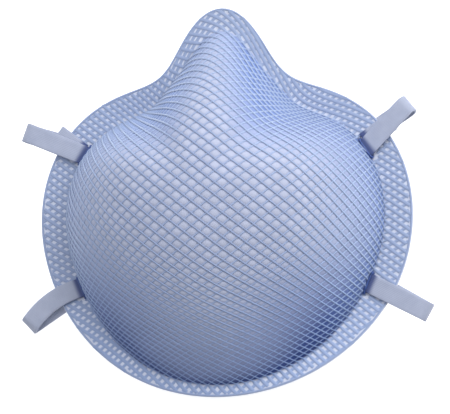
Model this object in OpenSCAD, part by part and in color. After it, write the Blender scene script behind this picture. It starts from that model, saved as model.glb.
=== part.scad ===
// Disposable dust mask: a moulded cup of five layers with a net outer shell, a
// soft foam nose cushion and two elastic headbands.
// +Z points forward, away from the wearer's face, and +Y towards the nose.
// The mask lies dome up on the straps that pass under its rim, at z = 0.
// Round the rim an angle of 0 is the nose, 90 the side at +X and 180 the chin.

/* [Rim] */
// Radius of the rim round the cheeks and the chin
rim_r = 69.5; // [64:0.5:84]
// How far the nose lobe stands out of the rim
nose_out = 29.7; // [24:0.2:36]
// Angle over which the nose lobe fades
nose_spread = 19; // [16:0.5:23]
// How far the shoulders beside the nose are drawn in
shoulder_in = 27.4; // [22:0.1:31]
// Angle over which the shoulders fade
shoulder_spread = 49.4; // [42:0.2:57]
// Width of the welded flange along the cheeks
flange_w = 9.8; // [8:0.1:12]
// How much narrower the flange is under the chin
chin_trim = 5.8; // [0:0.1:6.5]
// How much narrower the flange is beside the nose
nose_side_trim = 4.6; // [0:0.1:5.5]
// How much narrower the flange is at the tip of the nose
nose_tip_trim = 1.8; // [0:0.1:4]
// How far the rim rises towards the bridge of the nose
nose_lift = 7; // [0:0.5:12]
// How far the rim rises under the chin
chin_lift = 14; // [0:0.5:16]

/* [Cup] */
// Height of the cup above the table
cup_h = 48; // [38:0.5:58]
// How full the cup's shoulder is, higher is squarer
cup_power = 2.3; // [1.8:0.05:2.9]
// How steeply the cup's wall ends at the rim, lower is steeper
wall_power = 0.6; // [0.5:0.01:0.9]
// How much the nose ridge flattens the cup's shoulder
ridge_power = 0.5; // [0:0.05:0.8]
// How much the nose ridge eases the cup's wall
ridge_ease = 0.28; // [0:0.01:0.4]
// How much the hollows beside the nose ease the cup's wall
valley_ease = 0.55; // [0:0.01:0.7]
// How much the chin eases the cup's wall
chin_ease = 0.25; // [0:0.01:0.4]
// How much fuller the nose ridge is halfway down
nose_swell = 12; // [0:0.5:20]
// How quickly the nose lobe fades towards the cup's middle
lobe_fade = 2; // [1:0.1:4]

/* [Layers] */
// Thickness of the net shell's strands where they cross
net_t = 0.7; // [0.4:0.05:1.2]
// Thickness of the cover web
cover_t = 0.3; // [0.2:0.05:0.6]
// Thickness of each filter ply
ply_t = 0.6; // [0.3:0.05:1.2]
// Thickness of the soft lining
lining_t = 0.5; // [0.3:0.05:1]
// Share of its thickness that a layer keeps where the flange is welded
press = 0.55; // [0.3:0.05:1]

/* [Nose cushion] */
// Thickness of the foam
cushion_t = 4; // [2:0.5:6]
// Half the angle that the foam covers round the nose
cushion_half = 40; // [35:1:48]
// Where the foam starts, as a share of the way from the middle to the rim
cushion_from = 0.83; // [0.8:0.01:0.88]
// Where the foam ends, on the same scale
cushion_to = 0.97; // [0.92:0.01:0.985]

/* [Straps] */
// Width of the elastic strap
strap_w = 7; // [5:0.5:9]
// Thickness of the elastic strap
strap_t = 0.8; // [0.5:0.05:1.2]
// Free length of strap from the cup's wall to the middle of its outer fold
front_len = 21.6; // [17:0.2:27]
// Diameter of the outer fold, between the middles of its two legs
fold_d = 5; // [4:0.25:8]
// How much shorter the upper right strap stands out than the others
upper_right_short = 1.8; // [0:0.1:4]
// Heading of the upper left strap in plan, from +X towards +Y
upper_left_heading = 158; // [140:0.2:175]
// Heading of the upper right strap in plan
upper_right_heading = 46; // [20:0.5:50]
// Heading of the lower left strap in plan
lower_left_heading = 213; // [190:0.5:220]
// Heading of the lower right strap in plan
lower_right_heading = 333; // [320:0.5:350]
// Place round the rim of the two upper straps
upper_place = 68.9; // [62:0.1:76]
// Place round the rim of the two lower straps
lower_place = 118.3; // [107:0.1:126]
// How far the lower left strap bows towards the nose on its way out
lower_left_bow = 2; // [0:0.1:3]
// Length of the cut strap tails that lie on the flange
tail_len = 12; // [9:0.5:15]
// How far from the crease each tail starts
tail_start = 1.3; // [1:0.1:3]

/* [Headbands] */
// How far the headbands' pivots stand inside the cup's crease, at the cheeks
pivot_in = 16.7; // [15:0.1:22]
// How far the upper headband's pivots are towards the nose
upper_pivot_y = 19; // [16:0.5:24]
// How far the lower headband's pivots are towards the chin
lower_pivot_y = 21; // [16:0.5:26]
// Room between the top of a headband's arch and the top of the cup
arch_room = 15.77; // [13:0.01:26]
// Radius of the turn at each foot of the arch
foot_r = 6; // [4:0.5:10]
// How far the stowed upper headband leans towards the nose
upper_lean = 6; // [0:1:9]
// How far the stowed lower headband leans towards the chin
lower_lean = 17; // [8:1:20]

/* [Fits] */
// Clearance between a strap and what it passes
strap_gap = 0.3; // [0.2:0.05:0.6]
// Clearance between a headband and the fixed strap that it turns on
pivot_gap = 0.3; // [0.2:0.05:0.6]
// How much wider than the strap each slit in the shell is
slit_gap = 1.2; // [0.6:0.1:2]

// Adhesive layer between the foam and the lining
cushion_gap = 0.4; // [0.3:0.05:0.6]

/* [Hidden] */

// Number of steps round the rim, across the cup and across the flange
around = 48;
cup_steps = 14;
flange_steps = 3;
// Steps crowd towards the nose by this share of a step
crowd = 0.4;
// Angles over which the rim's trims, its lifts and the nose ridge fade
nose_side_at = 24;
nose_side_spread = 11;
nose_tip_spread = 12;
chin_from = 105;
chin_to = 178;
lift_spread = 34;
ridge_spread = 32;
valley_at = 40;
valley_spread = 20;
chin_ease_to = 165;
// The step used to measure a slope
nudge = 0.01;

// Depths below the net's face at which each layer ends, on the open cup
net_d = net_t;
cover_d = net_d + cover_t;
outer_ply_d = cover_d + ply_t;
inner_ply_d = outer_ply_d + ply_t;
lining_d = inner_ply_d + lining_t;

// Height of the flange's lower and upper face along the cheeks
flange_bottom = strap_t + strap_gap;
flange_top = flange_bottom + lining_d * press;

function unit(v) = v / norm(v);
function bell(x, spread) = exp(-pow(x / spread, 2));
function ease(x) = let (t = min(1, max(0, x))) t * t * (3 - 2 * t);
// Angle away from the nose, the same on both sides
function off_nose(a) = let (b = abs(a) % 360) min(b, 360 - b);
// Plan direction of an angle round the rim
function toward(a) = [sin(a), cos(a)];
function perp(v) = [-v[1], v[0]];

function rim_radius(a) = let (o = off_nose(a))
    rim_r + nose_out * bell(o, nose_spread) - shoulder_in * bell(o, shoulder_spread);
function flange_width(a) = let (o = off_nose(a))
    flange_w - chin_trim * ease((o - chin_from) / (chin_to - chin_from))
    - nose_side_trim * bell(o - nose_side_at, nose_side_spread)
    - nose_tip_trim * bell(o, nose_tip_spread);
function crease_radius(a) = rim_radius(a) - flange_width(a);
function lift(a) = let (o = off_nose(a))
    nose_lift * bell(o, lift_spread) + chin_lift * ease((o - chin_from) / (180 - chin_from));
function crease_plan(a) = crease_radius(a) * toward(a);
// Outward direction of the crease in plan
function crease_normal(a) = unit(perp(crease_plan(a + nudge) - crease_plan(a - nudge)));

// A point of the cup's outer face, p from 0 at its top to 1 at the crease
base_r = rim_r - flange_w;
function cup_point(p, a) =
    let (o = off_nose(a),
         r = p * (base_r + (crease_radius(a) - base_r) * pow(p, lobe_fade)),
         n = cup_power - ridge_power * bell(o, ridge_spread),
         m = wall_power + ridge_ease * bell(o, ridge_spread)
             + valley_ease * bell(o - valley_at, valley_spread)
             + chin_ease * ease((o - chin_from) / (chin_ease_to - chin_from)),
         low = flange_top + lift(a))
    [r * sin(a), r * cos(a), low + (cup_h - low) * pow(max(0, 1 - pow(p, n)), m)
                             + nose_swell * p * p * (1 - p) * bell(o, ridge_spread)];
function cup_normal(p, a) = unit(cross(cup_point(p, a - 1) - cup_point(p, a + 1),
                                       cup_point(p - nudge, a) - cup_point(p + nudge / 10, a)));
// A point at depth d under the cup's face
function under_cup(p, a, d) = cup_point(p, a) - d * cup_normal(p, a);

// Shares of the way to the crease at which the rings lie, closer on the steep wall
function ring_share(i) = pow(sin(90 * i / cup_steps), 0.9);
function step_angle(j) = let (u = 360 * j / around) u - crowd * 180 / PI * sin(u);

function ring(i, d) = [for (j = [0 : around - 1]) let (a = step_angle(j))
    i < cup_steps ? under_cup(ring_share(i), a, d)
    : i == cup_steps ? let (q = crease_plan(a) - d * crease_normal(a)) [q[0], q[1], flange_face(a, d)]
    : let (q = (crease_radius(a) + flange_width(a) * (i - cup_steps) / flange_steps) * toward(a))
      [q[0], q[1], flange_face(a, d)]];
function flange_face(a, d) = flange_top + lift(a) - d * press;

// One layer of the cup and flange, between two depths under the net's face
module layer(from, to) {
    rings = cup_steps + flange_steps;
    function skin(d) = concat([[0, 0, cup_h - d]], [for (i = [1 : rings]) each ring(i, d)]);
    count = 1 + rings * around;
    function at(i, j) = 1 + (i - 1) * around + j % around;
    points = concat(skin(from), skin(to));
    faces = [
        for (j = [0 : around - 1]) [0, at(1, j), at(1, j + 1)],
        for (j = [0 : around - 1]) [count, count + at(1, j + 1), count + at(1, j)],
        for (i = [1 : rings - 1], j = [0 : around - 1]) each
            [[at(i, j), at(i + 1, j), at(i + 1, j + 1)], [at(i, j), at(i + 1, j + 1), at(i, j + 1)]],
        for (i = [1 : rings - 1], j = [0 : around - 1]) each
            [[count + at(i, j), count + at(i + 1, j + 1), count + at(i + 1, j)],
             [count + at(i, j), count + at(i, j + 1), count + at(i + 1, j + 1)]],
        for (j = [0 : around - 1]) each
            [[at(rings, j), count + at(rings, j), count + at(rings, j + 1)],
             [at(rings, j), count + at(rings, j + 1), at(rings, j + 1)]]
    ];
    centred() polyhedron(points, faces);
}

// Direction of a path at one of its points
function along(path, i) = unit(path[min(len(path) - 1, i + 1)] - path[max(0, i - 1)]);

// A flat strip of strap that follows a path, with the way across it at each point
module ribbon(path, across) {
    last = len(path) - 1;
    function corners(i) = let (w = across[i] * strap_w / 2, n = unit(cross(along(path, i), across[i])) * strap_t / 2)
        [path[i] + w + n, path[i] - w + n, path[i] - w - n, path[i] + w - n];
    points = [for (i = [0 : last]) each corners(i)];
    faces = [
        [0, 2, 1], [0, 3, 2],
        [4 * last, 4 * last + 1, 4 * last + 2], [4 * last, 4 * last + 2, 4 * last + 3],
        for (i = [0 : last - 1], k = [0 : 3]) let (a = 4 * i + k, b = 4 * i + (k + 1) % 4) each
            [[a, b, b + 4], [a, b + 4, a + 4]]
    ];
    centred() polyhedron(points, faces);
}

// The headbands' pivots and arches follow the cup that they're stowed in
pivot_x = crease_radius(90) - pivot_in;
arch_slope = 2 * atan((cup_h - arch_room) / pivot_x);

// A strap's corner of the mask: place round the rim, heading, pivot, whether it has a tail,
// how far it bows, how much shorter it is
upper_left = [-upper_place, upper_left_heading, [-pivot_x, upper_pivot_y], true, 0, 0];
upper_right = [upper_place, upper_right_heading, [pivot_x, upper_pivot_y], true, 0, upper_right_short];
lower_left = [-lower_place, lower_left_heading, [-pivot_x, -lower_pivot_y], false, lower_left_bow, 0];
lower_right = [lower_place, lower_right_heading, [pivot_x, -lower_pivot_y], false, 0, 0];
corners = [upper_left, upper_right, lower_left, lower_right];

function flat(v, z) = [v[0], v[1], z];
function heading(a) = [cos(a), sin(a)];
// Where a strap comes out of the cup's wall, in plan
function root(c) = crease_plan(c[0]);
function way_out(c) = heading(c[1]);
function fold_plan(c) = root(c) + way_out(c) * (front_len - c[5]);
// Highest point of the flange across a strap's width, where the strap leaves its slit
function seat_z(c) = let (w = atan2(strap_w / 2, crease_radius(c[0])))
    flange_top + max(lift(c[0] - w), lift(c[0] + w));
// Height of the middle of the strap where it leaves the slit, over its tail if it has one
function slit_z(c) = seat_z(c) + strap_gap + strap_t / 2 + (c[3] ? strap_t : 0);
fold_z = strap_t / 2 + fold_d / 2;

// How far out, past the fold's middle, the fold's outer face stands
fold_out = (fold_d + strap_t) / 2;
function outer_x(c) = abs(fold_plan(c)[0] + way_out(c)[0] * fold_out)
    + abs(way_out(c)[1]) * strap_w / 2;
// The middle of the whole mask's outline, which is put on the Z axis
middle = [(max(outer_x(upper_right), outer_x(lower_right)) - max(outer_x(upper_left), outer_x(lower_left))) / 2,
          (rim_radius(0) - rim_radius(180)) / 2];
module centred() {
    translate([-middle[0], -middle[1], 0]) children();
}

// Strap from the slit, out over the flange, round its fold and back to the pivot
front_points = 8;
fold_points = 12;
back_points = 8;
// Share of the front leg over which it turns from the slit's line to its own way
turn_share = 0.3;
// Share of the back leg over which it squares up to its pivot
square_up = 0.35;
module strap_end(c) {
    out = way_out(c);
    tip = fold_plan(c);
    foot = c[2] + [sign(c[2][0]) * pivot_gap / 2, 0];
    back = unit(tip - foot);
    inner = root(c) - crease_normal(c[0]) * net_t;
    top = strap_t / 2 + fold_d;
    square = [0, -sign(c[2][0])];
    bow = -perp(out) * c[4];
    way = tip - inner;
    tip_out = unit(way - 4 * bow);
    front = [for (i = [0 : front_points - 1]) let (s = i / front_points)
        flat(inner + way * s + bow * 4 * s * (1 - s), slit_z(c) + (top - slit_z(c)) * ease(s))];
    function fold_way(i) = unit(tip_out + (back - tip_out) * i / fold_points);
    fold = [for (i = [0 : fold_points]) let (t = 180 * i / fold_points)
        flat(tip + fold_way(i) * sin(t) * fold_d / 2, fold_z + cos(t) * fold_d / 2)];
    return = [for (i = [1 : back_points]) let (s = i / back_points) flat(tip + (foot - tip) * s, strap_t / 2)];
    // The strap starts square to the slit, and turns square to its own way just outside it
    front_across = [for (i = [0 : front_points - 1]) let (s = i / front_points, e = ease(s / turn_share))
        flat(unit(perp(unit(way + 4 * bow * (1 - 2 * s))) * e + perp(crease_normal(c[0])) * (1 - e)), 0)];
    fold_across = [for (i = [0 : fold_points]) flat(perp(fold_way(i)), 0)];
    back_across = [for (i = [1 : back_points]) let (s = ease((i / back_points - 1 + square_up) / square_up))
        flat(unit(perp(back) * (1 - s) - square * s), 0)];
    ribbon(concat(front, fold, return), concat(front_across, fold_across, back_across));
}

// Cut end of a strap, flat on the flange under the strap's front leg
module strap_tail(c, turn, shift) {
    out = heading(c[1] + turn);
    inner = root(c) + perp(way_out(c)) * shift + out * tail_start;
    z = seat_z(c) + strap_gap / 2 + strap_t / 2;
    across = flat(perp(out), 0);
    ribbon([flat(inner, z), flat(inner + out * tail_len, z)], [across, across]);
}

// Slit through the shell at the foot of the cup's wall
module slit(c) {
    depth = 2 * net_t;
    high = slit_z(c) + strap_t / 2 + slit_gap / 2 - flange_top - lift(c[0]);
    n = crease_normal(c[0]);
    centred() translate(flat(root(c), flange_top + lift(c[0])))
        rotate([0, 0, atan2(n[1], n[0])])
            translate([-depth, -(strap_w + slit_gap) / 2, 0])
                cube([2 * depth, strap_w + slit_gap, high]);
}

// Elastic arch between two pivots, stowed inside the cup
arc_points = 6;
top_points = 18;
// Height over which a headband twists from flat into its lean
twist_h = 12;
module headband(pivot_y, lean, side) {
    big_r = pivot_x / sin(arch_slope) - foot_r;
    foot = [for (i = [0 : arc_points - 1]) let (b = arch_slope * i / arc_points)
        [-pivot_x + foot_r * sin(b), foot_r * (1 - cos(b))]];
    crown = [for (i = [0 : top_points]) let (b = arch_slope * (1 - 2 * i / top_points))
        [-big_r * sin(b), foot_r * (1 - cos(arch_slope)) + big_r * (cos(b) - cos(arch_slope))]];
    right_foot = [for (i = [arc_points - 1 : -1 : 0]) [-foot[i][0], foot[i][1]]];
    line = concat([[-pivot_x + pivot_gap / 2, 0]], [for (i = [1 : arc_points - 1]) foot[i]], crown,
                  [for (i = [0 : arc_points - 2]) right_foot[i]], [[pivot_x - pivot_gap / 2, 0]]);
    rise = [0, side * sin(lean), cos(lean)];
    // Flat at the pivots, and twisted into the arch's lean above them
    function twist(q) = lean * ease(q[1] / twist_h);
    path = [for (q = line) [q[0], side * pivot_y, strap_t / 2] + rise * q[1]];
    ribbon(path, [for (i = [0 : len(path) - 1])
        let (t = along(path, i), w = [0, cos(twist(line[i])), -side * sin(twist(line[i]))]) unit(w - t * (w * t))]);
}

// Foam strip inside the nose, thinning to nothing at its edges
cushion_around = 20;
cushion_across = 6;
edge_t = 0.4;
module foam() {
    function face(i, j, top) =
        let (s = i / cushion_across, u = 2 * j / cushion_around - 1,
             p = cushion_from + (cushion_to - cushion_from) * s,
             crown = sqrt(max(0, 1 - pow(2 * s - 1, 2))) * sqrt(max(0, 1 - pow(u, 4))))
        under_cup(p, u * cushion_half, lining_d + cushion_gap + (top ? edge_t + (cushion_t - edge_t) * crown : 0));
    side = cushion_around + 1;
    count = (cushion_across + 1) * side;
    points = [for (top = [false, true], i = [0 : cushion_across], j = [0 : cushion_around]) face(i, j, top)];
    function at(i, j) = i * side + j;
    faces = [
        for (i = [0 : cushion_across - 1], j = [0 : cushion_around - 1]) each
            [[at(i, j), at(i + 1, j), at(i + 1, j + 1)], [at(i, j), at(i + 1, j + 1), at(i, j + 1)],
             [count + at(i, j), count + at(i + 1, j + 1), count + at(i + 1, j)],
             [count + at(i, j), count + at(i, j + 1), count + at(i + 1, j + 1)]],
        for (j = [0 : cushion_around - 1]) each
            [[at(0, j), at(0, j + 1), count + at(0, j + 1)], [at(0, j), count + at(0, j + 1), count + at(0, j)],
             [at(cushion_across, j), count + at(cushion_across, j + 1), at(cushion_across, j + 1)],
             [at(cushion_across, j), count + at(cushion_across, j), count + at(cushion_across, j + 1)]],
        for (i = [0 : cushion_across - 1]) each
            [[at(i, 0), count + at(i + 1, 0), at(i + 1, 0)], [at(i, 0), count + at(i, 0), count + at(i + 1, 0)],
             [at(i, cushion_around), at(i + 1, cushion_around), count + at(i + 1, cushion_around)],
             [at(i, cushion_around), count + at(i + 1, cushion_around), count + at(i, cushion_around)]]
    ];
    centred() polyhedron(points, faces);
}

module outer_net_shell() {
    color("#9db3dc") difference() {
        layer(0, net_d);
        for (c = corners) slit(c);
    }
}
module cover_web() { color("#eef1f6") layer(net_d, cover_d); }
module filter_outer_ply() { color("#f7f8fa") layer(cover_d, outer_ply_d); }
module filter_inner_ply() { color("#f3f4f6") layer(outer_ply_d, inner_ply_d); }
module soft_lining() { color("#ffffff") layer(inner_ply_d, lining_d); }
module nose_cushion() { color("#8ea6d6") foam(); }
module upper_left_strap_end() { color("#a9abc0") strap_end(upper_left); }
module upper_right_strap_end() { color("#a9abc0") strap_end(upper_right); }
module lower_left_strap_end() { color("#a9abc0") strap_end(lower_left); }
module lower_right_strap_end() { color("#a9abc0") strap_end(lower_right); }
module upper_left_strap_tail() { color("#a0a3b8") strap_tail(upper_left, -15.6, -0.1); }
module upper_right_strap_tail() { color("#a0a3b8") strap_tail(upper_right, -10, 2.4); }
module upper_headband() { color("#a9abc0") headband(upper_pivot_y, upper_lean, 1); }
module lower_headband() { color("#a9abc0") headband(lower_pivot_y, lower_lean, -1); }

outer_net_shell();
cover_web();
filter_outer_ply();
filter_inner_ply();
soft_lining();
nose_cushion();
upper_left_strap_end();
upper_right_strap_end();
lower_left_strap_end();
lower_right_strap_end();
upper_left_strap_tail();
upper_right_strap_tail();
upper_headband();
lower_headband();
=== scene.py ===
import math

import bpy
import numpy as np
from mathutils import Matrix, Vector


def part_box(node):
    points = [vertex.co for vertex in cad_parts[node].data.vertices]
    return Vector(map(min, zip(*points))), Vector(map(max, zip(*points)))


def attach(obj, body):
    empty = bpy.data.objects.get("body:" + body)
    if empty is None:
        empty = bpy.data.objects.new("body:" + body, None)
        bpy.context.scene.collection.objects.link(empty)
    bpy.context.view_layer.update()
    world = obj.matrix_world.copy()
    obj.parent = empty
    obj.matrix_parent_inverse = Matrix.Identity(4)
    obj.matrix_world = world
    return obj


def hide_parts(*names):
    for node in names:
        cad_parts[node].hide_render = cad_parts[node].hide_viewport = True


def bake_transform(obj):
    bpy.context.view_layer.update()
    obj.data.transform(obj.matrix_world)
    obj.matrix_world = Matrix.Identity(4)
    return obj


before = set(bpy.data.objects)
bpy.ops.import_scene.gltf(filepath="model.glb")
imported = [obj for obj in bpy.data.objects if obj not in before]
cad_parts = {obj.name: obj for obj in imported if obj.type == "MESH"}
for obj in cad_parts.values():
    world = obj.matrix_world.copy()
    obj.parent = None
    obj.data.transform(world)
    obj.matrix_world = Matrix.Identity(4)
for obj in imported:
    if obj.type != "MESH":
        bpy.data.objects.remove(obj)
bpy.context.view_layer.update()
MM = 0.001

# ---------------------------------------------------------------- the mould
# The dome and the flange, with the CAD part's own sizes, in millimetres.
# An angle of 0 is the nose, 90 the side at +X and 180 the chin.

RIM_R, NOSE_OUT, NOSE_SPREAD = 69.5, 29.7, 19
SHOULDER_IN, SHOULDER_SPREAD = 27.4, 49.4
FLANGE_W, CHIN_TRIM, NOSE_SIDE_TRIM, NOSE_TIP_TRIM = 9.8, 5.8, 4.6, 1.8
NOSE_LIFT, CHIN_LIFT = 7, 14
CUP_H, CUP_POWER, WALL_POWER = 48, 2.3, 0.6
RIDGE_POWER, RIDGE_EASE, NOSE_SWELL, LOBE_FADE = 0.5, 0.28, 12, 2
VALLEY_EASE, CHIN_EASE = 0.55, 0.25
NOSE_SIDE_AT, NOSE_SIDE_SPREAD, NOSE_TIP_SPREAD = 24, 11, 12
CHIN_FROM, CHIN_TO, CHIN_EASE_TO = 105, 178, 165
LIFT_SPREAD, RIDGE_SPREAD, VALLEY_AT, VALLEY_SPREAD = 34, 32, 40, 20
NET_T, COVER_T, PLY_T, LINING_T, PRESS = 0.7, 0.3, 0.6, 0.5, 0.55
CUSHION_T, CUSHION_HALF, CUSHION_FROM, CUSHION_TO = 4, 40, 0.83, 0.97
CUSHION_EDGE, CUSHION_GAP = 0.4, 0.4
STRAP_W, STRAP_T, FRONT_LEN, FOLD_D, RIGHT_SHORT = 7, 0.8, 21.6, 5, 1.8
UPPER_PLACE, LOWER_PLACE, TAIL_LEN, TAIL_START = 68.9, 118.3, 12, 1.3
PIVOT_IN, UPPER_PIVOT_Y, LOWER_PIVOT_Y = 16.7, 19, 21
ARCH_ROOM, FOOT_R, UPPER_LEAN, LOWER_LEAN, TWIST_H = 15.77, 6, 6, 17, 12
STRAP_GAP, SLIT_GAP = 0.3, 1.2

COVER_D = NET_T + COVER_T
LINING_FROM = COVER_D + 2 * PLY_T
LINING_D = LINING_FROM + LINING_T
FLANGE_TOP = STRAP_T + STRAP_GAP + LINING_D * PRESS
BASE_R = RIM_R - FLANGE_W


def bell(x, spread):
    return np.exp(-(x / spread) ** 2)


def ease(t):
    t = np.clip(t, 0, 1)
    return t * t * (3 - 2 * t)


def off_nose(a):
    return np.abs((np.asarray(a, float) + 180) % 360 - 180)


def rim_radius(a):
    o = off_nose(a)
    return RIM_R + NOSE_OUT * bell(o, NOSE_SPREAD) - SHOULDER_IN * bell(o, SHOULDER_SPREAD)


def flange_width(a):
    o = off_nose(a)
    return (FLANGE_W - CHIN_TRIM * ease((o - CHIN_FROM) / (CHIN_TO - CHIN_FROM))
            - NOSE_SIDE_TRIM * bell(o - NOSE_SIDE_AT, NOSE_SIDE_SPREAD) - NOSE_TIP_TRIM * bell(o, NOSE_TIP_SPREAD))


def crease_radius(a):
    return rim_radius(a) - flange_width(a)


def flange_z(a):
    o = off_nose(a)
    return FLANGE_TOP + NOSE_LIFT * bell(o, LIFT_SPREAD) + CHIN_LIFT * ease((o - CHIN_FROM) / (180 - CHIN_FROM))


def dome(p, a):
    """A point of the outer face, p from 0 at the top of the dome to 1 at the crease."""
    o = off_nose(a)
    r = p * (BASE_R + (crease_radius(a) - BASE_R) * p ** LOBE_FADE)
    ridge = bell(o, RIDGE_SPREAD)
    n = CUP_POWER - RIDGE_POWER * ridge
    m = (WALL_POWER + RIDGE_EASE * ridge + VALLEY_EASE * bell(o - VALLEY_AT, VALLEY_SPREAD)
         + CHIN_EASE * ease((o - CHIN_FROM) / (CHIN_EASE_TO - CHIN_FROM)))
    low = flange_z(a)
    z = low + (CUP_H - low) * np.maximum(0, 1 - p ** n) ** m + NOSE_SWELL * p * p * (1 - p) * ridge
    t = np.radians(a)
    return np.stack([r * np.sin(t), r * np.cos(t), z], -1)


# The flat net is drawn down over the dome. Its own radius runs a little ahead of
# the distance down the dome, and it bunches on the walls, beside the nose, at the
# chin and on the flange.
DRAW = 1.03
WALL_BUNCH, WALL_FROM = 0.1, 0.5
NOSE_BUNCH, NOSE_BUNCH_AT, NOSE_BUNCH_SPREAD = 0.12, 35, 22
CHIN_BUNCH, CHIN_BUNCH_FROM, CHIN_BUNCH_TO, CHIN_WALL_FROM = 0.3, 90, 170, 0.3
FLANGE_BUNCH, NOSE_FLANGE_BUNCH, FLANGE_BUNCH_SPREAD = 1.35, 0.3, 50
CHIN_BLUE_FROM, CHIN_BLUE_TO, NOSE_BLUE_AT, NOSE_BLUE_SPREAD = 100, 150, 28, 20
PRESS_FADE = 1.5    # mm of the flat net over which the layers thin out at the crease
STEPS = 400
ANGLES = np.linspace(-180, 180, 241)
_steps = 1 - (1 - np.linspace(0, 1, 241)) ** 3
_rows = dome(_steps[None, :], ANGLES[:, None])
_run = np.concatenate([np.zeros((len(ANGLES), 1)),
                       np.cumsum(np.linalg.norm(np.diff(_rows, axis=1), axis=2), 1)], 1)
_off = off_nose(ANGLES)[:, None]
_flat = _run * (DRAW + (WALL_BUNCH + NOSE_BUNCH * bell(_off - NOSE_BUNCH_AT, NOSE_BUNCH_SPREAD))
                * ease((_steps - WALL_FROM) / (1 - WALL_FROM))
                + CHIN_BUNCH * ease((_off - CHIN_BUNCH_FROM) / (CHIN_BUNCH_TO - CHIN_BUNCH_FROM))
                * ease((_steps - CHIN_WALL_FROM) / (1 - CHIN_WALL_FROM)))
# For each angle, the flat net's radius at the crease, and the dome's p at even shares of it
CREASE_N = _flat[:, -1]
SHARES = np.array([np.interp(np.linspace(0, 1, STEPS + 1), row / row[-1], _steps) for row in _flat])


def crease_n(a):
    return np.interp((np.asarray(a, float) + 180) % 360 - 180, ANGLES, CREASE_N)


def flange_n(a):
    """How much of the flat net's radius lies on the flange."""
    return flange_width(a) * (FLANGE_BUNCH + NOSE_FLANGE_BUNCH * bell(off_nose(a), FLANGE_BUNCH_SPREAD))


def rim_n(a):
    return crease_n(a) + flange_n(a)


def drawn(x, y):
    """Where a point of the flat net ends up on the mould's outer face."""
    n, a = np.hypot(x, y), angle_of(x, y)
    k = (a + 180) / 360 * (len(ANGLES) - 1)
    i = np.clip(np.floor(k).astype(int), 0, len(ANGLES) - 2)
    w = k - i
    q = n / crease_n(a)
    h = np.clip(q, 0, 1) * STEPS
    j = np.clip(np.floor(h).astype(int), 0, STEPS - 1)
    v = h - j
    p = ((1 - w) * ((1 - v) * SHARES[i, j] + v * SHARES[i, j + 1])
         + w * ((1 - v) * SHARES[i + 1, j] + v * SHARES[i + 1, j + 1]))
    on_dome = dome(np.minimum(p, 1), a)
    f = np.clip((n - crease_n(a)) / flange_n(a), 0, 1)
    r = crease_radius(a) + flange_width(a) * f
    t = np.radians(a)
    on_flange = np.stack([r * np.sin(t), r * np.cos(t), flange_z(a)], -1)
    return np.where((q > 1)[..., None], on_flange, on_dome)


def unit(v):
    return v / np.maximum(np.linalg.norm(v, axis=-1, keepdims=True), 1e-12)


def drawn_normal(x, y, reach=0.7):
    across = drawn(x + reach, y) - drawn(x - reach, y)
    up = drawn(x, y + reach) - drawn(x, y - reach)
    return unit(np.cross(across, up))


def steepness(x, y):
    """0 where the mould is level and 1 where it's upright."""
    return 1 - np.clip(drawn_normal(x, y)[..., 2], 0, 1)


def angle_of(x, y):
    return np.degrees(np.arctan2(x, y))


def chinward(x, y):
    """0 over the cheeks and the nose, and 1 at the chin, where most of the net is bunched and the web's painted shade
    is darkest.
    """
    return ease((off_nose(angle_of(x, y)) - CHIN_BLUE_FROM) / (CHIN_BLUE_TO - CHIN_BLUE_FROM))


def noseward(x, y):
    """1 down both sides of the nose, and 0 elsewhere."""
    return bell(off_nose(angle_of(x, y)) - NOSE_BLUE_AT, NOSE_BLUE_SPREAD)


def pressed(x, y):
    """0 on the dome and 1 on the welded flange, where every layer is pressed thin."""
    return ease((np.hypot(x, y) - crease_n(angle_of(x, y))) / PRESS_FADE + 0.5)


def under(x, y, depth):
    """A point at that depth under the net's face."""
    thin = 1 - (1 - PRESS) * pressed(x, y)
    return drawn(x, y) - (depth * thin)[..., None] * drawn_normal(x, y)


# From the mould's own centre to the row's frame, which the shell's box shows
shell_low, shell_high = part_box("outer_net_shell")
CENTRE = np.array([-(shell_low.x + shell_high.x) / 2 / MM, float(rim_radius(0) - rim_radius(180)) / 2, 0])


def placed(points):
    return (np.asarray(points) - CENTRE) * MM


# ---------------------------------------------------------------- helpers

def paint(hex_code):
    """sRGB hex to linear, with alpha."""
    c = [int(hex_code[i:i + 2], 16) / 255 for i in (1, 3, 5)]
    return tuple(x / 12.92 if x <= 0.04045 else ((x + 0.055) / 1.055) ** 2.4 for x in c) + (1,)


def add(tree, kind, inputs=None, **settings):
    """Adds a node with its settings, then sets or links its inputs."""
    n = tree.nodes.new(kind)
    for name, value in settings.items():
        setattr(n, name, value)
    for name, value in (inputs or {}).items():
        if isinstance(value, bpy.types.NodeSocket):
            tree.links.new(value, n.inputs[name])
        else:
            n.inputs[name].default_value = value
    return n


def new_material(name):
    m = bpy.data.materials.new(name)
    m.use_nodes = True
    m.node_tree.nodes.clear()
    return m, m.node_tree


def close_material(tree, shader):
    add(tree, "ShaderNodeOutputMaterial", {"Surface": shader})


def start_clean():
    if bpy.context.object and bpy.context.object.mode != "OBJECT":
        bpy.ops.object.mode_set(mode="OBJECT")
    bpy.ops.object.select_all(action="DESELECT")


def pick(o):
    start_clean()
    o.select_set(True)
    bpy.context.view_layer.objects.active = o


def name_piece(name, material):
    o = bpy.context.object
    o.name = o.data.name = name
    o.data.materials.clear()
    o.data.materials.append(material)
    return o


def finish_modifier(o, kind, **settings):
    pick(o)
    m = o.modifiers.new(kind.title(), kind)
    for k, v in settings.items():
        setattr(m, k, v)
    bpy.ops.object.modifier_apply(modifier=m.name)


def shade(o, angle=40):
    pick(o)
    bpy.ops.object.shade_smooth_by_angle(angle=math.radians(angle))


def face_outward(o):
    pick(o)
    bpy.ops.object.mode_set(mode="EDIT")
    bpy.ops.mesh.select_all(action="SELECT")
    bpy.ops.mesh.normals_make_consistent(inside=False)
    bpy.ops.object.mode_set(mode="OBJECT")


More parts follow.
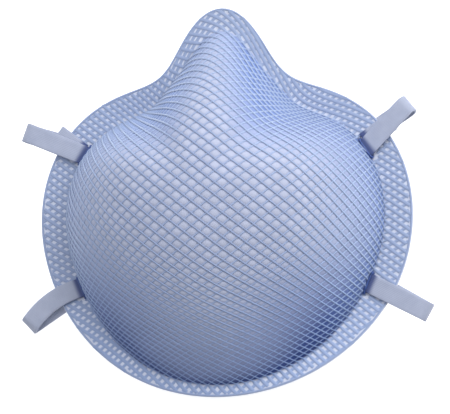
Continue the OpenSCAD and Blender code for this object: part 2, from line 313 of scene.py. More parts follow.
def corners_of(o):
    co = np.zeros(len(o.data.vertices) * 3)
    o.data.vertices.foreach_get("co", co)
    return co.reshape(-1, 3)


def set_corners(o, co):
    o.data.vertices.foreach_set("co", np.asarray(co, np.float32).ravel())
    o.data.update()


def note_place(o, name, values):
    """Keeps a place on the flat net or strap with each corner, for the pattern to follow."""
    at = o.data.attributes.new(name, "FLOAT_VECTOR", "POINT")
    at.data.foreach_set("vector", np.asarray(values, np.float32).ravel())


def note_value(o, name, values):
    at = o.data.attributes.new(name, "FLOAT", "POINT")
    at.data.foreach_set("value", np.asarray(values, np.float32))


# ---------------------------------------------------------------- materials

LATTICE = 38          # degrees that the net's strands run off the level
PITCH = 3.52          # mm between strands of one direction, on the flat net
RIB_PITCH = 0.58      # mm between ribs across a strap
STITCH_PITCH = 0.8    # mm between stitches along it
SLIT_SHADE_FROM, SLIT_SHADE_TO = 1.5, 3.6    # mm from the slit's inside over which the painted shade at the slit fades
TURN_A = (math.sin(math.radians(LATTICE)), math.cos(math.radians(LATTICE)))
TURN_B = (-math.sin(math.radians(LATTICE)), math.cos(math.radians(LATTICE)))


def each(size):
    """How many grains, threads or blotches of that size in mm there are to a metre."""
    return 1 / (size * MM)


def drawn_net():
    """Polypropylene net, extruded and drawn over a heated mould: satin, a little see-through,
    with a painted highlight that makes the strands paler on the walls, painted shade that darkens
    one direction on the level dome, and a deeper blue where they are bunched at the chin."""
    m, t = new_material("blue drawn polypropylene net")
    where = add(t, "ShaderNodeTexCoord").outputs["Object"]
    broad = add(t, "ShaderNodeTexNoise", {"Vector": where, "Scale": each(22.2), "Detail": 2, "Roughness": 0.5})
    fine = add(t, "ShaderNodeTexNoise", {"Vector": where, "Scale": each(1.11), "Detail": 2, "Roughness": 0.6})
    # Painted shade makes the strands of one direction darker on the level dome, and a painted highlight makes all of
    # them paler on the walls; broad noise adds random tone
    pale_and_painted_light = add(t, "ShaderNodeAttribute", attribute_name="pale_and_painted_light").outputs["Fac"]
    fleck_and_light = add(t, "ShaderNodeMath", {0: broad.outputs["Fac"], 1: 0.3, 2: pale_and_painted_light}, operation="MULTIPLY_ADD")
    level = add(t, "ShaderNodeMix", {"Factor": fleck_and_light.outputs[0], "A": paint("#7c8aab"), "B": paint("#99aaca")},
                data_type="RGBA")
    # Bunched close at the chin, its own blue gathers
    deep = add(t, "ShaderNodeAttribute", attribute_name="deep").outputs["Fac"]
    tone = add(t, "ShaderNodeMix", {"Factor": deep, "A": level.outputs["Result"], "B": paint("#8098c6")},
               data_type="RGBA")
    worn = add(t, "ShaderNodeMapRange", {"Value": fine.outputs["Fac"], "From Min": 0.35, "From Max": 0.7,
                                         "To Min": 0.42, "To Max": 0.58})
    bump = add(t, "ShaderNodeBump", {"Height": fine.outputs["Fac"], "Strength": 0.15, "Distance": 0.1 * MM})
    s = add(t, "ShaderNodeBsdfPrincipled", {"Base Color": tone.outputs["Result"], "Roughness": worn.outputs["Result"],
                                            "IOR": 1.49, "Normal": bump.outputs["Normal"]})
    close_material(t, s.outputs["BSDF"])
    return m


def pillow(t, place):
    """1 in the middle of a cell of the net and 0 under a strand."""
    waves = []
    for turn in (TURN_A, TURN_B):
        per_mm = (turn[0] * math.pi / PITCH, turn[1] * math.pi / PITCH, 0)
        along = add(t, "ShaderNodeVectorMath", {0: place, 1: per_mm}, operation="DOT_PRODUCT")
        wave = add(t, "ShaderNodeMath", {0: along.outputs["Value"]}, operation="SINE")
        waves.append(add(t, "ShaderNodeMath", {0: wave.outputs[0]}, operation="ABSOLUTE").outputs[0])
    return add(t, "ShaderNodeMath", {0: waves[0], 1: waves[1]}, operation="MULTIPLY").outputs[0]


def bonded_web():
    """Spun-bonded polypropylene nonwoven: white, matt and fibrous. It swells up into
    the net's cells and lies in shade under the strands."""
    m, t = new_material("white spunbond cover web")
    place = add(t, "ShaderNodeAttribute", attribute_name="net_place").outputs["Vector"]
    where = add(t, "ShaderNodeTexCoord").outputs["Object"]
    cell = pillow(t, place)
    fibres = add(t, "ShaderNodeTexNoise", {"Vector": where, "Scale": each(0.714), "Detail": 3, "Roughness": 0.7})
    clouds = add(t, "ShaderNodeTexNoise", {"Vector": where, "Scale": each(6.25), "Detail": 2, "Roughness": 0.5})
    lit = add(t, "ShaderNodeMapRange", {"Value": cell, "From Min": 0.15, "From Max": 0.75})
    level = add(t, "ShaderNodeMix", {"Factor": lit.outputs["Result"], "A": paint("#9ca4bd"), "B": paint("#aab0c5")},
                data_type="RGBA")
    # On the steep walls the cells are painted blue, partly for the net bunched there and partly as painted shade in
    # the gaps between strands; at the chin the navy is partly bunched net and partly painted shade on a wall turned
    # away from the light
    steep = add(t, "ShaderNodeAttribute", attribute_name="steep").outputs["Fac"]
    steep_blue_and_shade = add(t, "ShaderNodeMapRange", {"Value": steep, "From Min": 0.2, "From Max": 0.85})
    deep = add(t, "ShaderNodeAttribute", attribute_name="deep").outputs["Fac"]
    blue = add(t, "ShaderNodeMix", {"Factor": deep, "A": paint("#6780b9"), "B": paint("#233c7c")}, data_type="RGBA")
    wall_blue_and_shade = add(t, "ShaderNodeMix", {"Factor": steep_blue_and_shade.outputs["Result"], "A": level.outputs["Result"],
                                     "B": blue.outputs["Result"]}, data_type="RGBA")
    # Pressed flat on the flange, it stays white and clean
    flat = add(t, "ShaderNodeAttribute", attribute_name="flat").outputs["Fac"]
    base = add(t, "ShaderNodeMix", {"Factor": flat, "A": wall_blue_and_shade.outputs["Result"], "B": paint("#c6ccdd")},
               data_type="RGBA")
    cloudy = add(t, "ShaderNodeMapRange", {"Value": clouds.outputs["Fac"], "From Min": 0.3, "From Max": 0.7,
                                           "To Min": 0.93, "To Max": 1.04})
    tone = add(t, "ShaderNodeVectorMath", {0: base.outputs["Result"], "Scale": cloudy.outputs["Result"]},
               operation="SCALE")
    bump = add(t, "ShaderNodeBump", {"Height": fibres.outputs["Fac"], "Strength": 0.3, "Distance": 0.2 * MM})
    s = add(t, "ShaderNodeBsdfPrincipled", {"Base Color": tone.outputs["Vector"], "Roughness": 0.9, "IOR": 1.49,
                                            "Sheen Weight": 0.15, "Normal": bump.outputs["Normal"]})
    close_material(t, s.outputs["BSDF"])
    return m


def melt_blown():
    """Melt-blown polypropylene filter web: dense, white and matt, with a soft fibrous mottle."""
    m, t = new_material("white melt-blown filter web")
    where = add(t, "ShaderNodeTexCoord").outputs["Object"]
    fibres = add(t, "ShaderNodeTexNoise", {"Vector": where, "Scale": each(1.43), "Detail": 4, "Roughness": 0.7})
    tone = add(t, "ShaderNodeMix", {"Factor": fibres.outputs["Fac"], "A": paint("#dadde4"), "B": paint("#f2f3f6")},
               data_type="RGBA")
    bump = add(t, "ShaderNodeBump", {"Height": fibres.outputs["Fac"], "Strength": 0.4, "Distance": 0.2 * MM})
    s = add(t, "ShaderNodeBsdfPrincipled", {"Base Color": tone.outputs["Result"], "Roughness": 0.95, "IOR": 1.49,
                                            "Normal": bump.outputs["Normal"]})
    close_material(t, s.outputs["BSDF"])
    return m


def soft_web():
    """Needled polyester lining: brushed and white, warmer than the outer web, and embossed by
    the weld's diamonds on the flange."""
    m, t = new_material("white needled polyester lining")
    place = add(t, "ShaderNodeAttribute", attribute_name="net_place").outputs["Vector"]
    where = add(t, "ShaderNodeTexCoord").outputs["Object"]
    fibres = add(t, "ShaderNodeTexNoise", {"Vector": where, "Scale": each(1.11), "Detail": 4, "Roughness": 0.75})
    clouds = add(t, "ShaderNodeTexNoise", {"Vector": where, "Scale": each(8.33), "Detail": 3, "Roughness": 0.5})
    cell = pillow(t, place)
    tone = add(t, "ShaderNodeMix", {"Factor": clouds.outputs["Fac"], "A": paint("#dfe0e4"), "B": paint("#f3f3f4")},
               data_type="RGBA")
    height = add(t, "ShaderNodeMath", {0: cell, 1: 0.25, 2: fibres.outputs["Fac"]}, operation="MULTIPLY_ADD")
    bump = add(t, "ShaderNodeBump", {"Height": height.outputs[0], "Strength": 0.45, "Distance": 0.4 * MM})
    s = add(t, "ShaderNodeBsdfPrincipled", {"Base Color": tone.outputs["Result"], "Roughness": 0.95, "IOR": 1.5,
                                            "Sheen Weight": 0.25, "Normal": bump.outputs["Normal"]})
    close_material(t, s.outputs["BSDF"])
    return m


def foam_rubber():
    """Open-cell polyurethane foam: matt, with small pores painted darker, as painted shade in their hollows."""
    m, t = new_material("blue open-cell polyurethane foam")
    where = add(t, "ShaderNodeTexCoord").outputs["Object"]
    pores = add(t, "ShaderNodeTexVoronoi", {"Vector": where, "Scale": each(0.667)})
    clouds = add(t, "ShaderNodeTexNoise", {"Vector": where, "Scale": each(8.33), "Detail": 2})
    # Painted shade: the pores are darker in their hollows
    deep = add(t, "ShaderNodeMapRange", {"Value": pores.outputs["Distance"], "From Min": 0.05, "From Max": 0.45})
    body = add(t, "ShaderNodeMix", {"Factor": clouds.outputs["Fac"], "A": paint("#8396c6"), "B": paint("#9aabd6")},
               data_type="RGBA")
    tone = add(t, "ShaderNodeMix", {"Factor": deep.outputs["Result"], "A": body.outputs["Result"],
                                    "B": paint("#5f73a8")}, data_type="RGBA")
    bump = add(t, "ShaderNodeBump", {"Height": deep.outputs["Result"], "Strength": 0.5, "Distance": 0.3 * MM},
               invert=True)
    s = add(t, "ShaderNodeBsdfPrincipled", {"Base Color": tone.outputs["Result"], "Roughness": 0.92, "IOR": 1.5,
                                            "Normal": bump.outputs["Normal"]})
    close_material(t, s.outputs["BSDF"])
    return m


def knitted_elastic():
    """Flat knitted elastic of covered rubber threads: fine ribs along it, a slight sheen,
    and painted shade, navy, where it goes into the shell's slit."""
    m, t = new_material("grey flat knitted elastic")
    place = add(t, "ShaderNodeAttribute", attribute_name="strap_place").outputs["Vector"]
    where = add(t, "ShaderNodeTexCoord").outputs["Object"]
    spot = add(t, "ShaderNodeSeparateXYZ", {"Vector": place})
    rib = add(t, "ShaderNodeMath", {0: spot.outputs["Y"], 1: 2 * math.pi / RIB_PITCH}, operation="MULTIPLY")
    ribs = add(t, "ShaderNodeMath", {0: rib.outputs[0]}, operation="SINE")
    stitch = add(t, "ShaderNodeMath", {0: spot.outputs["X"], 1: 2 * math.pi / STITCH_PITCH}, operation="MULTIPLY")
    stitches = add(t, "ShaderNodeMath", {0: stitch.outputs[0]}, operation="SINE")
    both = add(t, "ShaderNodeMath", {0: stitches.outputs[0], 1: 0.35, 2: ribs.outputs[0]}, operation="MULTIPLY_ADD")
    clouds = add(t, "ShaderNodeTexNoise", {"Vector": where, "Scale": each(4), "Detail": 3})
    body = add(t, "ShaderNodeMix", {"Factor": clouds.outputs["Fac"], "A": paint("#8d95aa"), "B": paint("#a2a8bc")},
               data_type="RGBA")
    # Painted shade, navy, on the strap where it goes into its slit
    slit_shade = add(t, "ShaderNodeMapRange", {"Value": spot.outputs["X"], "From Min": SLIT_SHADE_FROM, "From Max": SLIT_SHADE_TO,
                                          "To Min": 0.95, "To Max": 0}, interpolation_type="SMOOTHSTEP")
    tone = add(t, "ShaderNodeMix", {"Factor": slit_shade.outputs["Result"], "A": body.outputs["Result"],
                                    "B": paint("#26396f")}, data_type="RGBA")
    bump = add(t, "ShaderNodeBump", {"Height": both.outputs[0], "Strength": 0.25, "Distance": 0.08 * MM})
    s = add(t, "ShaderNodeBsdfPrincipled", {"Base Color": tone.outputs["Result"], "Roughness": 0.62, "IOR": 1.5,
                                            "Sheen Weight": 0.1, "Normal": bump.outputs["Normal"]})
    close_material(t, s.outputs["BSDF"])
    return m


def melted_net_and_shade():
    """Net melted solid round a slit: navy, partly for the melted net and partly as painted shade at the slit,
    smoother and shinier than the rest.
    """
    m, t = new_material("navy melted net and painted shade")
    where = add(t, "ShaderNodeTexCoord").outputs["Object"]
    lumps = add(t, "ShaderNodeTexNoise", {"Vector": where, "Scale": each(1.67), "Detail": 2})
    tone = add(t, "ShaderNodeMix", {"Factor": lumps.outputs["Fac"], "A": paint("#24386c"), "B": paint("#3c5796")},
               data_type="RGBA")
    bump = add(t, "ShaderNodeBump", {"Height": lumps.outputs["Fac"], "Strength": 0.4, "Distance": 0.3 * MM})
    s = add(t, "ShaderNodeBsdfPrincipled", {"Base Color": tone.outputs["Result"], "Roughness": 0.35, "IOR": 1.49,
                                            "Normal": bump.outputs["Normal"]})
    close_material(t, s.outputs["BSDF"])
    return m


def studio_paper():
    """White matt studio paper."""
    m, t = new_material("white studio paper")
    where = add(t, "ShaderNodeTexCoord").outputs["Object"]
    grain = add(t, "ShaderNodeTexNoise", {"Vector": where, "Scale": each(3.33), "Detail": 2})
    tone = add(t, "ShaderNodeMix", {"Factor": grain.outputs["Fac"], "A": paint("#f6f6f6"), "B": paint("#fbfbfb")},
               data_type="RGBA")
    # Lit a little from below, so that shadows stay faint
    s = add(t, "ShaderNodeBsdfPrincipled", {"Base Color": tone.outputs["Result"], "Roughness": 0.9,
                                            "Emission Color": paint("#ffffff"), "Emission Strength": 0.4})
    close_material(t, s.outputs["BSDF"])
    return m


NET, WEB, FILTER, LINING = drawn_net(), bonded_web(), melt_blown(), soft_web()
FOAM, ELASTIC, MELT_AND_SHADE = foam_rubber(), knitted_elastic(), melted_net_and_shade()

# ---------------------------------------------------------------- the straps' corners

PIVOT_X = float(crease_radius(90)) - PIVOT_IN
ARCH_SLOPE = 2 * math.degrees(math.atan((CUP_H - ARCH_ROOM) / PIVOT_X))
# Place round the rim, heading in plan, pivot, whether it has a tail, bow, how much shorter
STRAPS = {
    "upper_left": (-UPPER_PLACE, 158, (-PIVOT_X, UPPER_PIVOT_Y), True, 0, 0),
    "upper_right": (UPPER_PLACE, 46, (PIVOT_X, UPPER_PIVOT_Y), True, 0, RIGHT_SHORT),
    "lower_left": (-LOWER_PLACE, 213, (-PIVOT_X, -LOWER_PIVOT_Y), False, 2, 0),
    "lower_right": (LOWER_PLACE, 333, (PIVOT_X, -LOWER_PIVOT_Y), False, 0, 0),
}


def crease_plan(a):
    t = math.radians(a)
    return np.array([math.sin(t), math.cos(t)]) * float(crease_radius(a))


def crease_out(a):
    """Outward direction of the crease in plan."""
    d = crease_plan(a + 0.01) - crease_plan(a - 0.01)
    return unit(np.array([-d[1], d[0]]))


def heading(a):
    return np.array([math.cos(math.radians(a)), math.sin(math.radians(a))])


def left_of(v):
    return np.array([-v[1], v[0]])


def seat_z(strap):
    """Highest point of the flange across a strap's width, where the strap leaves its slit."""
    w = math.degrees(math.atan2(STRAP_W / 2, float(crease_radius(strap[0]))))
    return float(max(flange_z(strap[0] - w), flange_z(strap[0] + w)))


def slit_z(strap):
    return seat_z(strap) + STRAP_GAP + STRAP_T / 2 + (STRAP_T if strap[3] else 0)


# ---------------------------------------------------------------- layers

WEB_SWELL = 0.4        # mm that the web rises into each cell of the net
SWELL_PRESSED = 0.6    # share of that rise that the weld presses flat on the flange
FINE, COARSE = 300, 180
# How much sooner the web turns blue at the chin and beside the nose than on the other
# walls, and how steep the chin's wall is where its blue is full; this blue is partly bunched
# net and partly painted shade.
CHIN_GAIN, NOSE_GAIN, BLUE_FULL = 0.9, 0.7, 0.5


def pressed_layer(name, depth, thickness, material, replaced, around, swell=0.0):
    """A sheet pressed on the mould: a sphere's upper half, flattened out onto the flat net,
    then drawn down to its depth and given its thickness."""
    rings = around // 2
    start_clean()
    bpy.ops.mesh.primitive_uv_sphere_add(segments=around, ring_count=2 * rings, radius=1)
    bpy.ops.object.mode_set(mode="EDIT")
    bpy.ops.mesh.select_all(action="SELECT")
    bpy.ops.mesh.bisect(plane_co=(0, 0, 0), plane_no=(0, 0, 1), clear_inner=True)
    bpy.ops.object.mode_set(mode="OBJECT")
    o = name_piece(name, material)
    co = corners_of(o)
    a = angle_of(co[:, 0], co[:, 1])
    share = np.arccos(np.clip(co[:, 2], 0, 1)) / (math.pi / 2)
    n = share * rim_n(a)
    x, y = n * np.sin(np.radians(a)), n * np.cos(np.radians(a))
    rise = np.zeros(len(x))
    if swell:
        waves = [np.abs(np.sin((x * t[0] + y * t[1]) * math.pi / PITCH)) for t in (TURN_A, TURN_B)]
        rise = swell * np.sqrt(waves[0] * waves[1]) * (1 - SWELL_PRESSED * pressed(x, y))
    set_corners(o, placed(under(x, y, depth - rise)))
    note_place(o, "net_place", np.stack([x, y, share], -1))
    # The web's blue on the walls and its navy at the chin are partly bunched net and partly painted shade
    note_value(o, "steep", steepness(x, y) * (1 + CHIN_GAIN * chinward(x, y) + NOSE_GAIN * noseward(x, y)))
    note_value(o, "flat", pressed(x, y))
    note_value(o, "deep", chinward(x, y) * ease(steepness(x, y) / BLUE_FULL))
    # The sheet's own thickness is pressed thin on the flange
    thin = o.vertex_groups.new(name="thickness")
    for i, v in enumerate(1 - (1 - PRESS) * pressed(x, y)):
        thin.add([i], float(v), "REPLACE")
    finish_modifier(o, "SOLIDIFY", thickness=thickness * MM, offset=-1, vertex_group="thickness",
                    thickness_vertex_group=0.0)
    shade(o, 50)
    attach(o, "mask")
    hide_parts(replaced)


pressed_layer("cover_web_sheet", NET_T, COVER_T, WEB, "cover_web", FINE, swell=WEB_SWELL)
pressed_layer("lining_sheet", LINING_FROM, LINING_T, LINING, "soft_lining", COARSE)
pressed_layer("filter_outer_sheet", COVER_D, PLY_T, FILTER, "filter_outer_ply", FINE)
pressed_layer("filter_inner_sheet", COVER_D + PLY_T, PLY_T, FILTER, "filter_inner_ply", COARSE)

# ---------------------------------------------------------------- the net

# A strand's six-sided section, in shares of its width and height
SECTION = [(-0.5, 0.0), (-0.28, 0.5), (0.28, 0.5), (0.5, 0.0), (0.28, -0.5), (-0.28, -0.5)]
# The two directions. A pair holds a value on the dome and one on the flange, and the depth
# is that of a strand's middle under the net's face. Tone is how pale it is painted on the level
# dome: the over-strands are darker as painted shade along them.
OVER = {"turn": TURN_A, "crossed": TURN_B, "width": (0.6, 1.25), "depth": (0.25, 0.1), "tone": 0.0}
UNDER = {"turn": TURN_B, "crossed": TURN_A, "width": (0.48, 1.1), "depth": (0.43, 0.24), "tone": 0.35}
STRAND_H = (0.3, 0.2)
WALL_WIDER, CHIN_THINNER, KNOT_WIDER = 0.15, 0.3, 0.2
WALL_HIGHLIGHT, FLANGE_TONE, FLANGE_DEEP = 0.6, 0.2, 0.35
LINES, REACH, STRAND_STEP, STRAND_IN, LEAST = 40, 125, 1.75, 0.6, 3
BAND_IN, BAND_DEPTH, BAND_W, BAND_H, BAND_STEPS = 0.75, 0.17, 0.7, 0.34, 360
SLIT_REACH = 1.6


def in_a_slit(points):
    """Where the slits cut the net, at the foot of the wall."""
    cut = np.zeros(len(points), bool)
    for strap in STRAPS.values():
        rel = points[:, :2] - crease_plan(strap[0])
        out = crease_out(strap[0])
        side = np.abs(rel @ left_of(out))
        high = points[:, 2] - float(flange_z(strap[0]))
        top = slit_z(strap) + STRAP_T / 2 + SLIT_GAP / 2 - float(flange_z(strap[0]))
        cut |= (side < (STRAP_W + SLIT_GAP) / 2) & (np.abs(rel @ out) < SLIT_REACH) & (high < top)
    return cut


def strand(x, y, level, width, height, closed=False):
    """Rings of corners round a strand that follows points of the flat net."""
    middle = drawn(x, y)
    normal = drawn_normal(x, y)
    if closed:
        along = unit(np.roll(middle, -1, 0) - np.roll(middle, 1, 0))
    else:
        along = unit(np.gradient(middle, axis=0))
    side = unit(np.cross(normal, along))
    normal = np.cross(along, side)
    middle = middle - level[:, None] * normal
    return np.stack([middle + side * (s * width)[:, None] + normal * (h * height)[:, None]
                     for s, h in SECTION], 1)


def past_crease(flat, pair):
    """From its value on the dome to its value on the flange."""
    return pair[0] * (1 - flat) + pair[1] * flat


def net_runs():
    """Each strand of the net as rings of corners, in two crossing directions, with how pale
    it is painted for painted light and shade, and how deep a blue it looks at each corner."""
    runs, tones, depths = [], [], []
    for kind in (OVER, UNDER):
        turn, crossed = kind["turn"], kind["crossed"]
        t = np.arange(-REACH, REACH, STRAND_STEP)
        for i in range(-LINES, LINES + 1):
            x = turn[0] * PITCH * i + turn[1] * t
            y = turn[1] * PITCH * i - turn[0] * t
            inside = np.hypot(x, y) < rim_n(angle_of(x, y)) - STRAND_IN
            if inside.any():
                inside &= ~in_a_slit(drawn(x, y))
            edges = np.flatnonzero(np.diff(np.concatenate([[0], inside.astype(int), [0]])))
            for start, stop in zip(edges[::2], edges[1::2]):
                if stop - start < LEAST:
                    continue
                xs, ys = x[start:stop], y[start:stop]
                flat, steep, chin = pressed(xs, ys), steepness(xs, ys), chinward(xs, ys)
                # Thicker where it crosses the other direction, thinner on the chin's wall
                knots = 0.5 + 0.5 * np.cos(2 * math.pi * (xs * crossed[0] + ys * crossed[1]) / PITCH)
                width = kind["width"][0] + WALL_WIDER * steep - CHIN_THINNER * ease(steep / 0.4) * chin
                width = past_crease(flat, (width * (1 + KNOT_WIDER * knots), kind["width"][1]))
                runs.append(strand(xs, ys, past_crease(flat, kind["depth"]), width, past_crease(flat, STRAND_H)))
                # Painted light: a painted highlight makes the strands paler on the walls, and the over-strands' lower
                # tone is painted shade
                pale_and_painted_light = past_crease(flat, (kind["tone"] + WALL_HIGHLIGHT * ease(steep / 0.45), FLANGE_TONE))
                deep = chin * past_crease(flat, (ease(steep / BLUE_FULL), FLANGE_DEEP))
                tones.append(np.repeat(pale_and_painted_light, len(SECTION)))
                depths.append(np.repeat(deep, len(SECTION)))
    return runs, tones, depths


def tube_side(first, second):
    """Faces between two rings of corners, each given by its first corner."""
    around = len(SECTION)
    return [(first + k, first + (k + 1) % around, second + (k + 1) % around, second + k) for k in range(around)]


def net_shell():
    corners, faces, base = [], [], 0
    around = len(SECTION)
    runs, tones, depths = net_runs()
    for rings in runs:
        last = base + (len(rings) - 1) * around
        corners.append(rings.reshape(-1, 3))
        for first in range(base, last, around):
            faces += tube_side(first, first + around)
        faces.append(tuple(base + k for k in reversed(range(around))))
        faces.append(tuple(last + k for k in range(around)))
        base = last + around
    # The net is melted into one band along the trimmed edge of the flange
    a = np.linspace(-180, 180, BAND_STEPS + 1)[:-1]
    n = rim_n(a) - BAND_IN
    band = strand(n * np.sin(np.radians(a)), n * np.cos(np.radians(a)), np.full(BAND_STEPS, BAND_DEPTH),
                  np.full(BAND_STEPS, BAND_W), np.full(BAND_STEPS, BAND_H), closed=True)
    corners.append(band.reshape(-1, 3))
    for i in range(BAND_STEPS):
        faces += tube_side(base + i * around, base + (i + 1) % BAND_STEPS * around)
    mesh = bpy.data.meshes.new("net_shell")
    mesh.from_pydata(placed(np.concatenate(corners)).tolist(), [], faces)
    o = bpy.data.objects.new("net_shell", mesh)
    bpy.context.scene.collection.objects.link(o)
    face_outward(o)
    name_piece("net_shell", NET)
    note_value(o, "pale_and_painted_light", np.concatenate(tones + [np.full(BAND_STEPS * around, FLANGE_TONE)]))
    note_value(o, "deep", np.concatenate(depths + [np.zeros(BAND_STEPS * around)]))
    shade(o, 60)
    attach(o, "mask")
    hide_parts("outer_net_shell")


net_shell()

# ---------------------------------------------------------------- straps

# Past the painted shade at the slit, for a strap that doesn't start in a slit
PAST_SLIT_SHADE = 10
EDGE_R = 0.22
# Shares of a strap's front and back runs over which it turns square to its slit and its pivot
ROOT_TURN, FOOT_TURN = 0.3, 0.35
# Round a slit, how far the melted ring reaches past it and how thick it is, in mm, and how far it leans back with the
# wall's foot
WELD_OVER, WELD_THICK, WELD_LEAN = 0.5, 1.5, 0.25


def ribbon(name, path, across, replaced, from_slit=True):
    """A flat grid laid along a path, given its thickness and soft edges."""
    path, across = np.asarray(path, float), unit(np.asarray(across, float))
    start_clean()
    bpy.ops.mesh.primitive_grid_add(x_subdivisions=len(path) - 1, y_subdivisions=6, size=2)
    o = name_piece(name, ELASTIC)
    co = corners_of(o)
    i = np.rint((co[:, 0] + 1) / 2 * (len(path) - 1)).astype(int)
    aside = co[:, 1] * STRAP_W / 2
    set_corners(o, placed(path[i] + across[i] * aside[:, None]))
    run = np.concatenate([[0], np.cumsum(np.linalg.norm(np.diff(path, axis=0), axis=1))])
    note_place(o, "strap_place", np.stack([run[i] + (0 if from_slit else PAST_SLIT_SHADE), aside, 0 * aside], -1))
    finish_modifier(o, "SOLIDIFY", thickness=STRAP_T * MM, offset=0)
    finish_modifier(o, "BEVEL", width=EDGE_R * MM, segments=2, limit_method="ANGLE", angle_limit=math.radians(60))
    face_outward(o)
    shade(o, 50)
    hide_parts(replaced)
    return o


def strap_end(name, strap):
    """Out of its slit, along over the flange, round the fold and back under the rim to its pivot."""
    place, way_deg, pivot, _, bend, short = strap
    out = heading(way_deg)
    root = crease_plan(place)
    tip = root + out * (FRONT_LEN - short)
    side = np.sign(pivot[0])
    foot = np.array([pivot[0], pivot[1]], float)
    back = unit(tip - foot)
    inner = root - crease_out(place) * NET_T
    bow = -left_of(out) * bend
    way = tip - inner
    tip_out = unit(way - 4 * bow)
    z0, top, fold_z = slit_z(strap), STRAP_T / 2 + FOLD_D, (STRAP_T + FOLD_D) / 2
    path, across = [], []
    for s in np.linspace(0, 1, 22)[:-1]:
        path.append([*(inner + way * s + bow * 4 * s * (1 - s)), z0 + (top - z0) * ease(s)])
        e = ease(s / ROOT_TURN)
        ahead = unit(way + 4 * bow * (1 - 2 * s))
        across.append([*unit(left_of(ahead) * e + left_of(crease_out(place)) * (1 - e)), 0])
    for t in np.linspace(0, 1, 19):
        w = unit(tip_out + (back - tip_out) * t)
        path.append([*(tip + w * math.sin(math.pi * t) * FOLD_D / 2), fold_z + math.cos(math.pi * t) * FOLD_D / 2])
        across.append([*left_of(w), 0])
    square = np.array([0, -side])
    for s in np.linspace(0, 1, 31)[1:]:
        path.append([*(tip + (foot - tip) * s), STRAP_T / 2])
        e = ease((s - 1 + FOOT_TURN) / FOOT_TURN)
        across.append([*unit(left_of(back) * (1 - e) - square * e), 0])
    o = ribbon("strap_" + name, path, across, name + "_strap_end")
    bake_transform(o)


def strap_tail(name, strap, turn, shift):
    """The strap's cut end, flat on the flange, turned and shifted a little from the strap over it."""
    way = heading(strap[1] + turn)
    inner = crease_plan(strap[0]) + left_of(heading(strap[1])) * shift + way * TAIL_START
    z = seat_z(strap) + STRAP_GAP / 2 + STRAP_T / 2
    path = [[*(inner + way * s * TAIL_LEN), z] for s in np.linspace(0, 1, 12)]
    o = ribbon("tail_" + name, path, [[*left_of(way), 0]] * 12, name + "_strap_tail")
    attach(o, "mask")


def weld(name, strap):
    """Net melted round a slit's edge, its navy partly painted shade at the slit: a ring, pulled out to the slit's
    outline and made lumpy.
    """
    start_clean()
    bpy.ops.mesh.primitive_torus_add(major_segments=72, minor_segments=10, major_radius=1, minor_radius=0.25)
    o = name_piece("weld_" + name, MELT_AND_SHADE)
    co = corners_of(o)
    way = np.arctan2(co[:, 1], co[:, 0])
    out_by, thick = np.hypot(co[:, 0], co[:, 1]) - 1, co[:, 2]
    half_w = STRAP_W / 2 + WELD_OVER
    half_h = STRAP_T * (1 if strap[3] else 0.5) + WELD_OVER
    lump = WELD_THICK * (1 + 0.25 * np.sin(5 * way + strap[0]) + 0.15 * np.sin(11 * way))
    # A rounded oblong rather than an ellipse
    c, s = np.cos(way), np.sin(way)
    across = np.sign(c) * np.abs(c) ** 0.5 * half_w + c * out_by * lump
    rise = np.sign(s) * np.abs(s) ** 0.5 * half_h + s * out_by * lump
    out = np.array([*crease_out(strap[0]), 0])
    side = np.array([*left_of(out[:2]), 0])
    middle = np.array([*crease_plan(strap[0]), slit_z(strap) - (STRAP_T / 2 if strap[3] else 0)])
    # The foot of the wall leans back from the flange
    lean = unit(np.array([0, 0, 1.0]) - WELD_LEAN * out)
    set_corners(o, placed(middle + out * (thick * lump)[:, None] + side * across[:, None] + lean * rise[:, None]))
    face_outward(o)
    shade(o, 80)
    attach(o, "mask")


def headband(name, pivot_y, lean_deg, side):
    """An arch stowed inside the cup, with a small rounded foot at each pivot, that leans as it
    rises. Its width lies level at the feet and square to the arch at the crown."""
    big_r = PIVOT_X / math.sin(math.radians(ARCH_SLOPE)) - FOOT_R
    low = FOOT_R * (1 - math.cos(math.radians(ARCH_SLOPE)))
    foot = [(-PIVOT_X + FOOT_R * math.sin(b), FOOT_R * (1 - math.cos(b)))
            for b in np.radians(np.linspace(0, ARCH_SLOPE, 13)[:-1])]
    crown = [(-big_r * math.sin(b), low + big_r * (math.cos(b) - math.cos(math.radians(ARCH_SLOPE))))
             for b in np.radians(np.linspace(ARCH_SLOPE, -ARCH_SLOPE, 61))]
    line = np.array(foot + crown + [(-u, v) for u, v in reversed(foot)])
    lean = math.radians(lean_deg)
    rise = np.array([0, side * math.sin(lean), math.cos(lean)])
    path = np.stack([line[:, 0], np.full(len(line), side * pivot_y), np.full(len(line), STRAP_T / 2)], -1) \
        + line[:, 1:] * rise
    twist = lean * ease(line[:, 1] / TWIST_H)
    flat = np.stack([0 * twist, np.cos(twist), -side * np.sin(twist)], -1)
    along = unit(np.gradient(path, axis=0))
    across = unit(flat - along * (flat * along).sum(1, keepdims=True))
    o = ribbon("headband_" + name, path, across, name + "_headband", from_slit=False)
    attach(o, name + "_band")


for strap_name, strap in STRAPS.items():
    strap_end(strap_name, strap)
    weld(strap_name, strap)
strap_tail("upper_left", STRAPS["upper_left"], -15.6, -0.1)
strap_tail("upper_right", STRAPS["upper_right"], -10, 2.4)
headband("upper", UPPER_PIVOT_Y, UPPER_LEAN, 1)
headband("lower", LOWER_PIVOT_Y, LOWER_LEAN, -1)

# ---------------------------------------------------------------- nose cushion

def dome_normal(p, a):
    return unit(np.cross(dome(p, a - 1) - dome(p, a + 1), dome(p - 0.01, a) - dome(p + 0.001, a)))


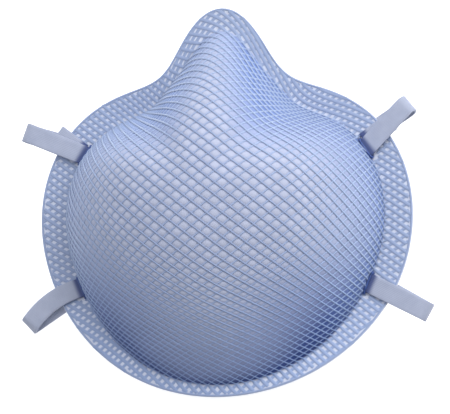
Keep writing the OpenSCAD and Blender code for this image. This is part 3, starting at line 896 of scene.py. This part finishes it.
def nose_foam():
    """A cushion that follows the ridge's inside, thickest in its middle and thin at its edges."""
    start_clean()
    bpy.ops.mesh.primitive_cube_add(size=2)
    bpy.ops.object.mode_set(mode="EDIT")
    bpy.ops.mesh.select_all(action="SELECT")
    bpy.ops.mesh.subdivide(number_cuts=40)
    bpy.ops.object.mode_set(mode="OBJECT")
    o = name_piece("nose_foam", FOAM)
    co = corners_of(o)
    s, u, t = (co[:, 0] + 1) / 2, co[:, 1], (co[:, 2] + 1) / 2
    crown = np.sqrt(np.maximum(0, 1 - (2 * s - 1) ** 2)) * np.sqrt(np.maximum(0, 1 - u ** 4))
    depth = LINING_D + CUSHION_GAP + t * (CUSHION_EDGE + (CUSHION_T - CUSHION_EDGE) * crown)
    p, a = CUSHION_FROM + (CUSHION_TO - CUSHION_FROM) * s, u * CUSHION_HALF
    set_corners(o, placed(dome(p, a) - depth[:, None] * dome_normal(p, a)))
    face_outward(o)
    shade(o, 60)
    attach(o, "mask")
    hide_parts("nose_cushion")


nose_foam()

# ---------------------------------------------------------------- stage

# Low enough for the headbands to swing down under the rim without reaching it
FLOOR_Z, FLOOR_SIZE = -0.042, 6
start_clean()
bpy.ops.mesh.primitive_plane_add(size=FLOOR_SIZE, location=(0, 0, FLOOR_Z))
floor = bpy.context.object
floor.name = "studio_floor"
floor.data.materials.append(studio_paper())

world = bpy.context.scene.world or bpy.data.worlds.new("studio")
bpy.context.scene.world = world
world.use_nodes = True
air = world.node_tree
air.nodes.clear()
# A soft dome of light that fades towards the chin
aspect = add(air, "ShaderNodeSeparateXYZ", {"Vector": add(air, "ShaderNodeTexCoord").outputs["Generated"]})
fade = add(air, "ShaderNodeMapRange", {"Value": aspect.outputs["Y"], "From Min": -0.7, "From Max": 0.5,
                                       "To Min": 0.3, "To Max": 1.0}, interpolation_type="SMOOTHSTEP")
sky = add(air, "ShaderNodeBackground", {"Color": paint("#f4f6fb"), "Strength": fade.outputs["Result"]})
# The camera itself sees plain white past the floor's edge
blank = add(air, "ShaderNodeBackground", {"Color": paint("#ffffff")})
seen = add(air, "ShaderNodeMixShader", {0: add(air, "ShaderNodeLightPath").outputs["Is Camera Ray"],
                                        1: sky.outputs["Background"], 2: blank.outputs["Background"]})
add(air, "ShaderNodeOutputWorld", {"Surface": seen.outputs["Shader"]})


def lamp(name, place, size, power):
    """A white square lamp that shines at the middle of the mask."""
    light = bpy.data.lights.new(name, "AREA")
    light.size, light.energy = size, power
    o = bpy.data.objects.new(name, light)
    bpy.context.scene.collection.objects.link(o)
    o.location = place
    o.rotation_euler = (Vector((0, 0, 0.02)) - Vector(place)).to_track_quat("-Z", "Y").to_euler()


lamp("key_light", (0.75, 0.75, 0.9), 1.1, 15)
lamp("fill_light", (-0.05, 0.15, 1.4), 0.8, 4.5)

# The camera looks nearly straight down on the dome, from a little to the right and below
YAW_DEG, PITCH_DEG = 12, 6
yaw, pitch = math.radians(YAW_DEG), math.radians(PITCH_DEG)
toward = Vector((math.sin(yaw) * math.cos(pitch), -math.sin(pitch), math.cos(yaw) * math.cos(pitch)))
right = Vector((math.cos(yaw), 0, -math.sin(yaw)))
up = toward.cross(right)
DISTANCE, WIDTH = 1.6, 0.1629
aim = Vector(placed([0, 0, 0])) + right * -0.0007 + up * 0.0004
cam_data = bpy.data.cameras.new("camera")
cam_data.lens = cam_data.sensor_width * DISTANCE / WIDTH
cam = bpy.data.objects.new("camera", cam_data)
bpy.context.scene.collection.objects.link(cam)
cam.location = aim + toward * DISTANCE
cam.rotation_mode = "QUATERNION"
cam.rotation_quaternion = Matrix((right, up, toward)).transposed().to_quaternion()
bpy.context.scene.camera = cam
cam_data.clip_end = 20
bpy.context.scene.view_settings.view_transform = "Standard"
